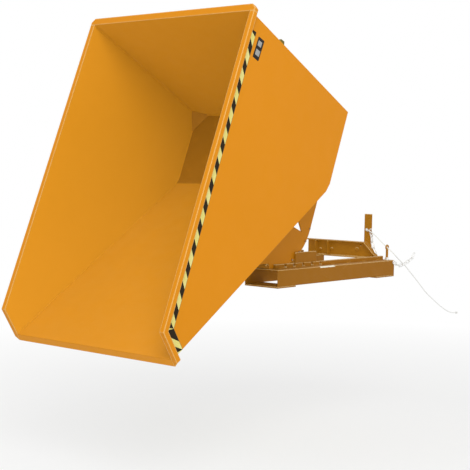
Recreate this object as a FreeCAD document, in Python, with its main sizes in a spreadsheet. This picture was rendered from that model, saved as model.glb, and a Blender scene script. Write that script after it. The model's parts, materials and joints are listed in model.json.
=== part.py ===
import FreeCAD, Part
import Sketcher
import math
import os
import re

# A self dumping hopper, shown tipped forward on the base that a truck's forks carry.
# Millimetres, +Z up, the load leaves towards -Y. The origin is midway between the two fork
# pockets, at their rear mouths, on the underside of their top plates.

os.makedirs("parts", exist_ok=True)
doc = FreeCAD.newDocument("SelfDumpingHopper")
Vector = FreeCAD.Vector

sizes = {
    # bin: its own upright frame starts at the bottom's front corner, y to the rear, z up
    "bin_width": 1026,
    "bin_height": 894,
    "base_length": 416,
    "front_reach": 1003,
    "rear_lean": 6.29,
    "lip_angle": 53.13,
    "lip_length": 185,
    "lip_flange": 36.5,
    "facet_leg": 26,
    "sheet": 4,
    "rim_overhang": 22,
    "rim_skirt": 27,
    "rim_corner": 20,
    "rear_overhang": 31.5,
    "gusset_up": 50,
    "gusset_across": 90,
    "gusset_along": 105,
    "lug_inset": 37,
    "lug_sheet": 12,
    "lug_height": 557,
    "lug_length": 54,
    "lug_reach": 45,
    "lug_taper": 14,
    # rocker webs, pegs and roll tube
    "tip_angle": 68.45,
    "roll_radius": 300,
    "roll_forward": 137.2,
    "tube_rise": 49,
    "web_inner": 262,
    "web_sheet": 10,
    "web_rear": 380,
    "web_corner": 60,
    "web_front_reach": 635,
    "heel_length": 63.4,
    "foot_length": 80,
    "seat_gap": 0.3,
    "hole_forward": 37,
    "hole_low": 239,
    "hole_high": 109,
    "hole_rear": 41,
    "hole_rear_low": 153,
    "tube_diameter": 42.4,
    "tube_wall": 4,
    "tube_play": 0.05,
    "tube_end": 12,
    "peg_diameter": 8,
    "peg_length": 7.5,
    "peg_inset": 10,
    # fork pockets and what stands on them
    "pocket_length": 1076,
    "pocket_inner": 138,
    "pocket_width": 212,
    "pocket_depth": 80,
    "pocket_wall": 4,
    "strap_sheet": 8,
    "strap_front": 150,
    "strap_rear": 180,
    "guide_play": 1.5,
    "guide_width": 14,
    "guide_height": 21,
    "guide_rear": 20,
    "guide_front": 61,
    "notch_width": 19,
    "notch_depth": 17,
    "notch_pitch": 76,
    "plate_sheet": 6,
    "plate_inset": 227,
    "plate_length": 182,
    "plate_height": 55,
    "plate_corner": 5,
    "stop_bar_diameter": 26,
    # rear cross member, a channel that is open to the front
    "channel_sheet": 6,
    "channel_rear": 11,
    "channel_flange": 30,
    "channel_height": 94,
    "channel_top": 336,
    "channel_foot": 488,
    "channel_end": 23,
    "rib_inner": 86,
    "rib_outer": 173,
    "bolt_diameter": 10,
    "bolt_head": 16,
    "bolt_head_height": 7,
    "bolt_play": 0.4,
    "bolt_near_across": 69.7,
    "bolt_near_up": 45.3,
    "bolt_far_across": 150.7,
    "bolt_far_up": 40.5,
    "spare_hole_across": 132.4,
    "spare_hole_up": 77.8,
    # release lever behind the channel's web
    "lever_pivot_across": 108.9,
    "lever_pivot_up": 53.2,
    "lever_sheet": 8,
    "lever_width": 48,
    "lever_across": 172.5,
    "lever_knee": 84,
    "lever_top": 259,
    "pivot_diameter": 14,
    "pivot_head": 21,
    "pivot_head_height": 8,
    "pivot_play": 0.06,
    # eye bolt on the near pocket
    "eye_across": 310,
    "eye_rear": 16,
    "eye_up": 75,
    "eye_ring": 32,
    "eye_wire": 9,
    "eye_stem": 14,
    "eye_nut": 22,
    "eye_nut_height": 11,
    "eye_washer": 28,
    "eye_washer_height": 3,
    # rope and chains
    "rope_diameter": 6,
    "knot_across": 173.7,
    "knot_up": 167.7,
    "knot_slope": 20,
    "knot_diameter": 15,
    "knot_length": 16,
    "link_length": 48,
    "link_width": 22,
    "link_wire": 6,
    "link_play": 0.6,
}

sheet = doc.addObject("Spreadsheet::Sheet", "Sizes")
for row, (alias, size) in enumerate(sizes.items(), start=1):
    sheet.set(f"A{row}", alias)
    sheet.set(f"B{row}", str(size))
    sheet.setAlias(f"B{row}", alias)
doc.recompute()

# What follows from the sizes.
derived = {
    # the roll tube's centre with the bin tipped, and how deep the webs are below the bin
    "centre_y": "-(pocket_length - stop_bar_diameter - seat_gap - heel_length)",
    "centre_z": "pocket_wall + roll_radius",
    "web_depth": "roll_radius - tube_rise",
    "travel": "roll_radius * tip_angle * pi / 180",
    "bin_y": "centre_y + roll_forward * cos(tip_angle) + tube_rise * sin(tip_angle)",
    "bin_z": "centre_z + roll_forward * sin(tip_angle) - tube_rise * cos(tip_angle)",
    "half_bin": "bin_width / 2",
    "half_inside": "half_bin - sheet",
    "half_rim": "half_bin + rim_overhang",
    # the rear wall's thickness along y, and the rim's joint and edge at the rear
    "wall_run": "sheet / cos(rear_lean)",
    "rear_top": "base_length + bin_height * tan(rear_lean)",
    "rear_joint": "rear_top - wall_run",
    "rear_foot": "base_length + sheet * tan(rear_lean) - wall_run",
    "rear_edge": "rear_top + rear_overhang",
    # the slanted floor, and how far down the lip it meets it, above the sheet and below it
    "over_run": "lip_length - lip_flange",
    "floor_out": "front_reach + over_run * cos(lip_angle)",
    "floor_up": "bin_height - over_run * sin(lip_angle)",
    "floor_slant": "sqrt(floor_out * floor_out + floor_up * floor_up)",
    "floor_angle": "atan(floor_up / floor_out) - asin(sheet / floor_slant)",
    "lip_slope": "sin(lip_angle) + tan(floor_angle) * cos(lip_angle)",
    "under_gap": "tan(floor_angle) * (front_reach - sheet * sin(lip_angle))",
    "under_run": "(bin_height - sheet * cos(lip_angle) - under_gap) / lip_slope",
    "facet_fold": "sheet * tan(floor_angle / 4)",
    # the webs' rolling edge, heel and toe
    "edge_radius": "roll_radius - seat_gap",
    "edge_low": "web_depth - seat_gap",
    "contact_y": "-roll_forward - edge_radius * sin(tip_angle)",
    "contact_z": "tube_rise - edge_radius * cos(tip_angle)",
    "heel_y": "contact_y - heel_length * cos(tip_angle)",
    "heel_z": "contact_z + heel_length * sin(tip_angle)",
    "toe_y": "heel_y + stop_bar_diameter * sin(tip_angle)",
    "toe_z": "heel_z + stop_bar_diameter * cos(tip_angle)",
    "web_outer": "web_inner + web_sheet",
    # the guide bars beside the webs
    "pocket_outer": "pocket_inner + pocket_width",
    "guide_inner": "web_outer + guide_play",
    "guide_outer": "guide_inner + guide_width",
    "guide_top": "pocket_wall + guide_height",
    "notch_low": "guide_top - notch_depth",
    "notch_y": "centre_y + travel",
    # the channel, and the lever behind it
    "channel_front": "channel_rear + channel_sheet",
    "channel_up": "pocket_wall + channel_height",
    "slope_run": "(channel_foot - channel_top) / 2",
    "slope_rise": "channel_height - channel_end",
    "slope_drop": "channel_sheet * sqrt(slope_run * slope_run + slope_rise * slope_rise) / slope_run",
    "lever_front": "channel_rear - seat_gap",
    "lever_rear": "lever_front - lever_sheet",
    "lobe": "lever_width / 2",
    "lever_run": "lever_across - lever_pivot_across",
    "lever_rise": "lever_knee - lever_pivot_up",
    "lever_slant": "sqrt(lever_run * lever_run + lever_rise * lever_rise)",
    "lever_mitre": "lobe * lever_run / (lever_slant + lever_rise)",
    # what is seated on the lever and on the near pocket
    "knot_y": "-(lever_front + seat_gap + knot_diameter / 2)",
    "eye_nut_low": "pocket_wall + eye_washer_height",
    "eye_low": "eye_up - eye_ring / 2",
}
known = re.compile("[a-z]+(?:_[a-z]+)*")
sides = {"left": -1, "right": 1}
nodes = []


# A size's place in the sheet, or what a derived name stands for.
def looked_up(match):
    name = match.group(0)
    if name in sizes:
        return f"Sizes.{name}"
    if name in derived:
        return f"({formula(derived[name])})"
    return name


def formula(text):
    return known.sub(looked_up, text)


def value(text):
    return float(sheet.evalExpression(formula(text)))


def bind(feature, path, text):
    feature.setExpression(path, formula(text))


# The bin's pieces are drawn upright and tipped together.
def tip_with_bin(piece):
    piece.Placement = FreeCAD.Placement(Vector(), FreeCAD.Rotation(Vector(1, 0, 0), value("tip_angle")))
    bind(piece, "Placement.Base.y", "bin_y")
    bind(piece, "Placement.Base.z", "bin_z")
    bind(piece, "Placement.Rotation.Angle", "tip_angle")


def new_body(name, on_bin=False):
    body = doc.addObject("PartDesign::Body", name)
    body.Label = name
    body.AllowCompound = True
    if on_bin:
        tip_with_bin(body)
    nodes.append(body)
    return body


def new_sketch(body, plane, offset):
    sketch = body.newObject("Sketcher::SketchObject", f"{body.Label}_sketch")
    base_plane = [item for item in body.Origin.OriginFeatures if item.Role == plane][0]
    sketch.AttachmentSupport = [(base_plane, "")]
    sketch.MapMode = "FlatFace"
    bind(sketch, "AttachmentOffset.Base.z", offset)
    return sketch


def pin(sketch, edge, vertex, corner):
    for kind, text in zip(("DistanceX", "DistanceY"), corner):
        place = sketch.addConstraint(Sketcher.Constraint(kind, edge, vertex, value(text)))
        bind(sketch, f"Constraints[{place}]", text)


def size_round(sketch, edge, radius):
    place = sketch.addConstraint(Sketcher.Constraint("Radius", edge, value(radius)))
    bind(sketch, f"Constraints[{place}]", radius)


def draw_circle(sketch, across, up, radius):
    circle = Part.Circle(Vector(value(across), value(up), 0), Vector(0, 0, 1), value(radius))
    edge = sketch.addGeometry(circle, False)
    pin(sketch, edge, 3, (across, up))
    size_round(sketch, edge, radius)


# An arc of less than half a turn, and which of its ends comes first.
def draw_arc(sketch, start, end, centre, radius):
    first = math.atan2(start.y - centre.y, start.x - centre.x)
    last = math.atan2(end.y - centre.y, end.x - centre.x)
    forward = (last - first) % (2 * math.pi) < math.pi
    circle = Part.Circle(centre, Vector(0, 0, 1), value(radius))
    angles = (first, last) if forward else (last, first)
    edge = sketch.addGeometry(Part.ArcOfCircle(circle, *angles), False)
    return edge, (1, 2) if forward else (2, 1)


# A closed outline. A corner is (across, up). Where an arc arrives at the corner, the arc's
# centre and radius follow: (across, up, centre across, centre up, radius).
def draw_outline(sketch, corners):
    points = [Vector(value(corner[0]), value(corner[1]), 0) for corner in corners]
    edges = []
    for start, end, corner in zip(points, points[1:] + points[:1], corners[1:] + corners[:1]):
        if len(corner) == 2:
            edge = sketch.addGeometry(Part.LineSegment(start, end), False)
            edges.append((edge, (1, 2), None))
        else:
            centre = Vector(value(corner[2]), value(corner[3]), 0)
            edge, ends = draw_arc(sketch, start, end, centre, corner[4])
            edges.append((edge, ends, corner[4]))
    for (edge, ends, radius), (after, after_ends, _), corner in zip(edges, edges[1:] + edges[:1], corners):
        sketch.addConstraint(Sketcher.Constraint("Coincident", edge, ends[1], after, after_ends[0]))
        pin(sketch, edge, ends[0], corner[:2])
        if radius:
            size_round(sketch, edge, radius)


def draw(sketch, loops):
    for loop in loops:
        if loop[0] == "circle":
            draw_circle(sketch, *loop[1:])
        else:
            draw_outline(sketch, loop)


def add_pad(body, plane, offset, length, *loops):
    sketch = new_sketch(body, plane, offset)
    draw(sketch, loops)
    pad = body.newObject("PartDesign::Pad", f"{body.Label}_pad")
    pad.Profile = sketch
    bind(pad, "Length", length)
    return pad


# A cut through everything, both ways from the sketch.
def add_cut(body, plane, *loops):
    sketch = new_sketch(body, plane, "0")
    draw(sketch, loops)
    pocket = body.newObject("PartDesign::Pocket", f"{body.Label}_cut")
    pocket.Profile = sketch
    pocket.Type = "ThroughAll"
    pocket.Midplane = True
    return pocket


# Where a piece between two distances from the middle starts, and its width, on either side.
def span(side, inner, outer):
    start = inner if side > 0 else f"-({outer})"
    return start, f"({outer}) - ({inner})"


def rectangle(across_from, up_from, across_to, up_to):
    return [(across_from, up_from), (across_to, up_from), (across_to, up_to), (across_from, up_to)]


def hexagon(across, up, flats):
    corner = f"{flats} / sqrt(3)"
    turns = range(0, 360, 60)
    return [(f"{across} + {corner} * cos({turn})", f"{up} + {corner} * sin({turn})") for turn in turns]


def box(name, x_from, y_from, z_from, length, width, height):
    piece = doc.addObject("Part::Box", name)
    piece.Label = name
    for path, text in zip(("Length", "Width", "Height"), (length, width, height)):
        bind(piece, path, text)
    for path, text in zip("xyz", (x_from, y_from, z_from)):
        bind(piece, f"Placement.Base.{path}", text)
    nodes.append(piece)
    return piece


# Bin corners that several pieces share, in the bin's upright frame.
rim_bend = ("-front_reach", "bin_height")
lip_end = ("-front_reach - lip_length * cos(lip_angle)", "bin_height - lip_length * sin(lip_angle)")
facet_rear = ("facet_leg", "0")
facet_front = ("-facet_leg * cos(floor_angle)", "facet_leg * sin(floor_angle)")
lip_under = (
    "-front_reach + sheet * sin(lip_angle) - under_run * cos(lip_angle)",
    "bin_height - sheet * cos(lip_angle) - under_run * sin(lip_angle)",
)
lip_over = ("-front_reach - over_run * cos(lip_angle)", "bin_height - over_run * sin(lip_angle)")


# The rim's outline inside its fold, a given depth below the face.
def lip_end_below(depth):
    return (f"{lip_end[0]} + {depth} * sin(lip_angle)", f"{lip_end[1]} - {depth} * cos(lip_angle)")


def rim_bend_below(depth):
    return (f"-front_reach + {depth} * tan(lip_angle / 2)", f"bin_height - {depth}")


# One folded sheet: flat bottom, slanted floor and the short flange down the lip.
def make_floor_sheet():
    body = new_body("floor_sheet", on_bin=True)
    slanted_over = (
        f"{facet_front[0]} + sheet * sin(floor_angle) - facet_fold * cos(floor_angle)",
        f"{facet_front[1]} + sheet * cos(floor_angle) + facet_fold * sin(floor_angle)",
    )
    outline = [
        ("base_length", "0"),
        facet_rear,
        facet_front,
        lip_under,
        lip_end_below("sheet"),
        lip_end,
        lip_over,
        slanted_over,
        ("facet_leg + facet_fold", "sheet"),
        ("base_length + sheet * tan(rear_lean)", "sheet"),
    ]
    add_pad(body, "YZ_Plane", "-half_inside", "2 * half_inside", outline)


def make_rear_wall():
    body = new_body("rear_wall", on_bin=True)
    low = "base_length + sheet * tan(rear_lean)"
    high = "base_length + (bin_height - sheet) * tan(rear_lean)"
    outline = [
        (f"{low} - wall_run", "sheet"),
        (low, "sheet"),
        (high, "bin_height - sheet"),
        (f"{high} - wall_run", "bin_height - sheet"),
    ]
    add_pad(body, "YZ_Plane", "-half_inside", "2 * half_inside", outline)


def make_side_panel(name, side):
    body = new_body(f"side_panel_{name}", on_bin=True)
    outline = [
        ("base_length", "0"),
        ("base_length + (bin_height - sheet) * tan(rear_lean)", "bin_height - sheet"),
        rim_bend_below("sheet"),
        lip_under,
        facet_front,
        facet_rear,
    ]
    add_pad(body, "YZ_Plane", *span(side, "half_inside", "half_bin"), outline)


# An angle section along the panel's top edge and down the lip, its lower corner cut off.
def make_side_rim(name, side):
    body = new_body(f"rim_{name}", on_bin=True)
    depths = [("sheet", "half_inside"), ("rim_skirt", "half_rim - sheet")]
    for depth, inner in depths:
        outline = [
            ("rear_joint", "bin_height"),
            rim_bend,
            lip_end,
            lip_end_below(depth),
            rim_bend_below(depth),
            ("rear_joint", f"bin_height - {depth}"),
        ]
        add_pad(body, "YZ_Plane", *span(side, inner, "half_rim"), outline)
    sketch = new_sketch(body, "XY_Plane", lip_end[1])
    sketch.AttachmentOffset = FreeCAD.Placement(Vector(), FreeCAD.Rotation(Vector(1, 0, 0), value("lip_angle")))
    bind(sketch, "AttachmentOffset.Base.y", lip_end[0])
    bind(sketch, "AttachmentOffset.Rotation.Angle", "lip_angle")
    across = f"{side} * half_rim"
    corner = [
        (f"{across} - {side} * 2 * rim_corner", "-rim_corner"),
        (f"{across} + {side} * rim_corner", "-rim_corner"),
        (f"{across} + {side} * rim_corner", "2 * rim_corner"),
    ]
    draw(sketch, [corner])
    pocket = body.newObject("PartDesign::Pocket", f"{body.Label}_corner")
    pocket.Profile = sketch
    pocket.Type = "ThroughAll"
    pocket.Midplane = True


# The rear rim's strip and its skirt, which returns along both sides.
def make_rear_rim():
    body = new_body("rim_rear", on_bin=True)
    outer = [
        ("half_rim", "rear_joint"),
        ("half_rim", "rear_edge - rim_corner"),
        ("half_rim - rim_corner", "rear_edge"),
        ("-half_rim + rim_corner", "rear_edge"),
        ("-half_rim", "rear_edge - rim_corner"),
        ("-half_rim", "rear_joint"),
    ]
    fold = "sheet * (sqrt(2) - 1)"
    inner = [
        ("-half_rim + sheet", "rear_joint"),
        ("-half_rim + sheet", f"rear_edge - rim_corner - {fold}"),
        (f"-half_rim + rim_corner + {fold}", "rear_edge - sheet"),
        (f"half_rim - rim_corner - {fold}", "rear_edge - sheet"),
        ("half_rim - sheet", f"rear_edge - rim_corner - {fold}"),
        ("half_rim - sheet", "rear_joint"),
    ]
    add_pad(body, "XY_Plane", "bin_height - sheet", "sheet", outer)
    add_pad(body, "XY_Plane", "bin_height - rim_skirt", "rim_skirt", outer + inner)


# A plate welded edge on to the rear wall.
def make_rear_lug():
    body = new_body("rear_lug", on_bin=True)
    low = "base_length + lug_height * tan(rear_lean)"
    high = "base_length + (lug_height + lug_length) * tan(rear_lean)"
    outline = [
        (low, "lug_height"),
        (f"{low} + lug_reach", "lug_height + lug_taper"),
        (f"{low} + lug_reach", "lug_height + lug_length - lug_taper"),
        (high, "lug_height + lug_length"),
    ]
    add_pad(body, "YZ_Plane", *span(1, "half_bin - lug_inset - lug_sheet", "half_bin - lug_inset"), outline)


# A plate across the inner corner of wall, panel and bottom, its edges on all three.
def make_corner_gusset(name, side):
    corner = Vector(side * value("half_inside"), value("rear_foot"), value("sheet"))
    lean = math.radians(value("rear_lean"))
    legs = [
        Vector(0, math.sin(lean), math.cos(lean)) * value("gusset_up"),
        Vector(-side, 0, 0) * value("gusset_across"),
        Vector(0, -1, 0) * value("gusset_along"),
    ]
    facing = (legs[1] - legs[0]).cross(legs[2] - legs[0]).normalize()
    depth = abs(facing.dot(legs[0]))
    triangles = []
    for share in (1, 1 - value("sheet") / depth):
        points = [corner + leg * share for leg in legs]
        triangles.append(Part.makePolygon(points + points[:1]))
    plate = add_shape(f"corner_gusset_{name}", Part.makeLoft(triangles, True, True))
    tip_with_bin(plate)


# The web that the bin rolls on: flat under the bin, then an arc about the roll tube, then a
# heel that lies on the pocket and a foot over the stop bar.
def make_rocker_web(name, side):
    body = new_body(f"rocker_web_{name}", on_bin=True)
    outline = [
        ("web_rear", "0"),
        ("web_rear", "web_corner - edge_low"),
        ("web_rear - web_corner", "-edge_low"),
        ("-roll_forward", "-edge_low"),
        ("contact_y", "contact_z", "-roll_forward", "tube_rise", "edge_radius"),
        ("heel_y", "heel_z"),
        ("toe_y", "toe_z"),
        ("toe_y - foot_length * cos(tip_angle)", "toe_z + foot_length * sin(tip_angle)"),
        ("-web_front_reach * cos(floor_angle)", "web_front_reach * sin(floor_angle)"),
        facet_front,
        facet_rear,
    ]
    hole = [
        ("-roll_forward - hole_forward", "tube_rise - hole_low"),
        ("-roll_forward + hole_rear", "tube_rise - hole_rear_low"),
        ("-roll_forward - hole_forward", "tube_rise - hole_high"),
    ]
    bore = ("circle", "-roll_forward", "tube_rise", "tube_diameter / 2 + tube_play")
    add_pad(body, "YZ_Plane", *span(side, "web_inner", "web_outer"), outline, hole, bore)


# Pegs on the web's outer face, which step into the guide bar's notches as the bin rolls.
def make_rocker_pegs(name, side):
    body = new_body(f"rocker_pegs_{name}", on_bin=True)
    reach = "(roll_radius - peg_inset)"
    circles = []
    for peg in range(notch_count):
        turn = f"({peg} * notch_pitch / roll_radius * 180 / pi)"
        across = f"-roll_forward - {reach} * sin({turn})"
        up = f"tube_rise - {reach} * cos({turn})"
        circles.append(("circle", across, up, "peg_diameter / 2"))
    add_pad(body, "YZ_Plane", *span(side, "web_outer", "web_outer + peg_length"), *circles)


def make_roll_tube():
    body = new_body("roll_tube")
    rings = [("circle", "centre_y", "centre_z", "tube_diameter / 2")]
    rings.append(("circle", "centre_y", "centre_z", "tube_diameter / 2 - tube_wall"))
    add_pad(body, "YZ_Plane", "-(web_outer + tube_end)", "2 * (web_outer + tube_end)", *rings)


# A sheet folded down on both sides; the straps below close it at both ends.
def make_fork_pocket(name, side):
    body = new_body(f"fork_pocket_{name}")
    inner = f"{side} * pocket_inner"
    outer = f"{side} * pocket_outer"
    wall = f"{side} * pocket_wall"
    outline = [
        (inner, "-pocket_depth"),
        (inner, "pocket_wall"),
        (outer, "pocket_wall"),
        (outer, "-pocket_depth"),
        (f"{outer} - {wall}", "-pocket_depth"),
        (f"{outer} - {wall}", "0"),
        (f"{inner} + {wall}", "0"),
        (f"{inner} + {wall}", "-pocket_depth"),
    ]
    add_pad(body, "XZ_Plane", "0", "pocket_length", outline)


def make_straps(name, side):
    start = span(side, "pocket_inner", "pocket_outer")[0]
    low = "-pocket_depth - strap_sheet"
    places = {"front": ("-pocket_length", "strap_front"), "rear": ("-strap_rear", "strap_rear")}
    for end, (y_from, width) in places.items():
        box(f"strap_{end}_{name}", start, y_from, low, "pocket_width", width, "strap_sheet")


# A bar beside the web's path, with a notch for each peg.
def make_guide_bar(name, side):
    body = new_body(f"guide_bar_{name}")
    bar = rectangle("guide_front - pocket_length", "pocket_wall", "-guide_rear", "guide_top")
    add_pad(body, "YZ_Plane", *span(side, "guide_inner", "guide_outer"), bar)
    first = f"notch_y - {notch_count - 1} * notch_pitch"
    over = "guide_top + notch_depth"
    notch = rectangle(f"{first} - notch_width / 2", "notch_low", f"{first} + notch_width / 2", over)
    pocket = add_cut(body, "YZ_Plane", notch)
    doc.recompute()
    pattern = body.newObject("PartDesign::LinearPattern", f"{body.Label}_notches")
    pattern.Originals = [pocket]
    axis = [item for item in body.Origin.OriginFeatures if item.Role == "Y_Axis"][0]
    pattern.Direction = (axis, [""])
    bind(pattern, "Length", f"{notch_count - 1} * notch_pitch")
    pattern.Occurrences = notch_count
    body.Tip = pattern


# An upright plate on the guide bar's outer edge that keeps the web on its path.
def make_guide_plate(name, side):
    body = new_body(f"guide_plate_{name}")
    front = "plate_inset - pocket_length"
    rear = "plate_inset + plate_length - pocket_length"
    top = "guide_top + plate_height"
    outline = [
        (front, "guide_top"),
        (rear, "guide_top"),
        (rear, f"{top} - plate_corner"),
        (f"{rear} - plate_corner", top),
        (f"{front} + plate_corner", top),
        (front, f"{top} - plate_corner"),
    ]
    add_pad(body, "YZ_Plane", *span(side, "guide_outer - plate_sheet", "guide_outer"), outline)


def make_stop_bar():
    body = new_body("front_stop_bar")
    half = "stop_bar_diameter / 2"
    circle = ("circle", f"{half} - pocket_length", f"pocket_wall + {half}", half)
    add_pad(body, "YZ_Plane", "-web_outer", "2 * web_outer", circle)


# Straight at the far end, sloped down at the end below the lever.
def make_cross_member():
    body = new_body("cross_member")
    shoulder = "pocket_wall + channel_end"
    outline = [
        ("-channel_foot / 2", "pocket_wall"),
        ("channel_foot / 2", "pocket_wall"),
        ("channel_foot / 2", shoulder),
        ("channel_top / 2", "channel_up"),
        ("-channel_foot / 2", "channel_up"),
    ]
    bolt_hole = "(bolt_diameter + bolt_play) / 2"
    holes = [
        ("circle", "-bolt_near_across", "bolt_near_up", bolt_hole),
        ("circle", "-bolt_far_across", "bolt_far_up", bolt_hole),
        ("circle", "spare_hole_across", "spare_hole_up", bolt_hole),
        ("circle", "lever_pivot_across", "lever_pivot_up", "(pivot_diameter + bolt_play) / 2"),
    ]
    add_pad(body, "XZ_Plane", "channel_rear", "channel_sheet", outline, *holes)
    top = rectangle("-channel_foot / 2", "channel_up - channel_sheet", "channel_top / 2", "channel_up")
    low = rectangle("-channel_foot / 2", "pocket_wall", "channel_foot / 2", "pocket_wall + channel_sheet")
    slope = [
        ("channel_top / 2", "channel_up"),
        ("channel_foot / 2", shoulder),
        ("channel_foot / 2", f"{shoulder} - slope_drop"),
        ("channel_top / 2", "channel_up - slope_drop"),
    ]
    for flange in (top, low, slope):
        add_pad(body, "XZ_Plane", "channel_front", "channel_flange", flange)


# Two stiffening ribs between the channel's flanges.
def make_ribs():
    body = new_body("cross_member_ribs")
    front = "-(channel_front + channel_flange)"
    rib = rectangle(front, "pocket_wall + channel_sheet", "-channel_front", "channel_up - channel_sheet")
    for middle in ("rib_inner", "rib_outer"):
        reach = (f"{middle} - channel_sheet / 2", f"{middle} + channel_sheet / 2")
        add_pad(body, "YZ_Plane", *span(-1, *reach), rib)


# A bolt through the web: head in front, nut behind.
def add_bolt(body, across, up, diameter, flats, head, nut_front):
    shank = ("circle", across, up, f"{diameter} / 2")
    nut_rear = f"{nut_front} - {head}"
    add_pad(body, "XZ_Plane", nut_rear, f"channel_front - ({nut_rear})", shank)
    add_pad(body, "XZ_Plane", "channel_front", head, hexagon(across, up, flats))
    ring = ("circle", across, up, f"{diameter} / 2")
    add_pad(body, "XZ_Plane", nut_rear, head, hexagon(across, up, flats), ring)


def make_channel_bolts():
    body = new_body("cross_member_bolts")
    for place in ("bolt_near", "bolt_far"):
        fit = ("bolt_diameter", "bolt_head", "bolt_head_height", "channel_rear")
        add_bolt(body, f"-{place}_across", f"{place}_up", *fit)


def make_pivot_bolt():
    body = new_body("lever_pivot_bolt")
    fit = ("pivot_diameter", "pivot_head", "pivot_head_height", "lever_rear - seat_gap")
    add_bolt(body, "lever_pivot_across", "lever_pivot_up", *fit)


def make_release_lever():
    body = new_body("release_lever")
    pivot = ("lever_pivot_across", "lever_pivot_up")
    along = ("lobe * lever_run / lever_slant", "lobe * lever_rise / lever_slant")
    outline = [
        ("lever_across - lobe", "lever_top"),
        ("lever_across - lobe", "lever_knee + lever_mitre"),
        (f"{pivot[0]} - {along[1]}", f"{pivot[1]} + {along[0]}"),
        (f"{pivot[0]} - {along[0]}", f"{pivot[1]} - {along[1]}", *pivot, "lobe"),
        (f"{pivot[0]} + {along[1]}", f"{pivot[1]} - {along[0]}", *pivot, "lobe"),
        ("lever_across + lobe", "lever_knee - lever_mitre"),
        ("lever_across + lobe", "lever_top"),
    ]
    bore = ("circle", *pivot, "pivot_diameter / 2 + pivot_play")
    add_pad(body, "XZ_Plane", "lever_rear", "lever_sheet", outline, bore)


def make_eye_bolt():
    ring = doc.addObject("Part::Torus", "eye_ring")
    ring.Placement = FreeCAD.Placement(Vector(), FreeCAD.Rotation(Vector(0, 1, 0), 90))
    bind(ring, "Radius1", "(eye_ring - eye_wire) / 2")
    bind(ring, "Radius2", "eye_wire / 2")
    stem = doc.addObject("Part::Cylinder", "eye_stem")
    bind(stem, "Radius", "eye_stem / 2")
    bind(stem, "Height", "eye_low + eye_wire / 2 - pocket_wall")
    for piece, height in ((ring, "eye_up"), (stem, "pocket_wall")):
        for path, text in zip("xyz", ("eye_across", "-eye_rear", height)):
            bind(piece, f"Placement.Base.{path}", text)
    bolt = doc.addObject("Part::MultiFuse", "eye_bolt")
    bolt.Label = "eye_bolt"
    bolt.Shapes = [ring, stem]
    nodes.append(bolt)


def make_eye_nut():
    body = new_body("eye_bolt_nut")
    place = ("eye_across", "-eye_rear")
    hole = ("circle", *place, "eye_stem / 2 + tube_play")
    add_pad(body, "XY_Plane", "pocket_wall", "eye_washer_height", ("circle", *place, "eye_washer / 2"), hole)
    add_pad(body, "XY_Plane", "eye_nut_low", "eye_nut_height", hexagon(*place, "eye_nut"), hole)


# The rope's knot in front of the lever, a short drum with its axis along the rope.
def make_rope_knot():
    knot = doc.addObject("Part::Cylinder", "rope_knot")
    knot.Label = "rope_knot"
    lying = FreeCAD.Rotation(Vector(0, 1, 0), 90 + value("knot_slope"))
    knot.Placement = FreeCAD.Placement(Vector(), lying)
    bind(knot, "Radius", "knot_diameter / 2")
    bind(knot, "Height", "knot_length")
    bind(knot, "Placement.Rotation.Angle", "90 + knot_slope")
    bind(knot, "Placement.Base.x", "knot_across - knot_length / 2 * cos(knot_slope)")
    bind(knot, "Placement.Base.y", "knot_y")
    bind(knot, "Placement.Base.z", "knot_up + knot_length / 2 * sin(knot_slope)")
    nodes.append(knot)


# The knot at the rope's far end, a drum that carries on from the route's last run.
def make_end_knot(route):
    before, end = [Vector(*place) for place in route[-2:]]
    knot = doc.addObject("Part::Cylinder", "rope_end_knot")
    knot.Label = "rope_end_knot"
    knot.Placement = FreeCAD.Placement(end, FreeCAD.Rotation(Vector(0, 0, 1), end - before))
    bind(knot, "Radius", "knot_diameter / 2")
    bind(knot, "Height", "knot_length")
    nodes.append(knot)


def add_shape(name, shape):
    piece = doc.addObject("Part::Feature", name)
    piece.Label = name
    piece.Shape = shape
    piece.Placement = FreeCAD.Placement()
    nodes.append(piece)
    return piece


# A round tube along straight runs joined by tangent arcs.
def tube_along(name, route, diameter):
    points = [Vector(*place) for place in route]
    edges = []
    radii = []
    last = points[0]
    for before, point, after in zip(points, points[1:], points[2:]):
        arriving = (point - before).normalize()
        leaving = (after - point).normalize()
        half_turn = arriving.getAngle(leaving) / 2
        tangent = tangent_share * min((point - before).Length, (after - point).Length)
        radius = tangent / math.tan(half_turn)
        inward = (leaving - arriving).normalize()
        middle = point + inward * (radius / math.cos(half_turn) - radius)
        start = point - arriving * tangent
        end = point + leaving * tangent
        edges.append(Part.LineSegment(last, start).toShape())
        edges.append(Part.Arc(start, middle, end).toShape())
        radii.append(radius)
        last = end
    edges.append(Part.LineSegment(last, points[-1]).toShape())
    path = Part.Wire(edges)
    section = Part.Wire([Part.Circle(points[0], points[1] - points[0], diameter / 2).toShape()])
    tube = path.makePipeShell([section], True, False)
    expected = math.pi * diameter ** 2 / 4 * path.Length
    print(f"{name}: length {path.Length:.1f}, radii {[round(radius) for radius in radii]},"
          f" volume {tube.Volume / expected:.4f} of section times length")
    add_shape(name, tube)


# One link between two joints of a chain, its long sides apart along the given side.
def chain_link(start, end, side):
    wire = value("link_wire / 2")
    bend = value("(link_width - link_wire) / 2")
    straight = value("(link_length - link_width) / 2")
    middle = (start + end) * 0.5
    axis = (end - start).normalize()
    across = (side - axis * side.dot(axis)).normalize()
    rear, front = middle - axis * straight, middle + axis * straight
    edges = [
        Part.LineSegment(rear + across * bend, front + across * bend),
        Part.Arc(front + across * bend, front + axis * bend, front - across * bend),
        Part.LineSegment(front - across * bend, rear - across * bend),
        Part.Arc(rear - across * bend, rear - axis * bend, rear + across * bend),
    ]
    section = Part.Wire([Part.Circle(rear + across * bend, axis, wire).toShape()])
    return Part.Wire([edge.toShape() for edge in edges]).makePipeShell([section], True, False)


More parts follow.
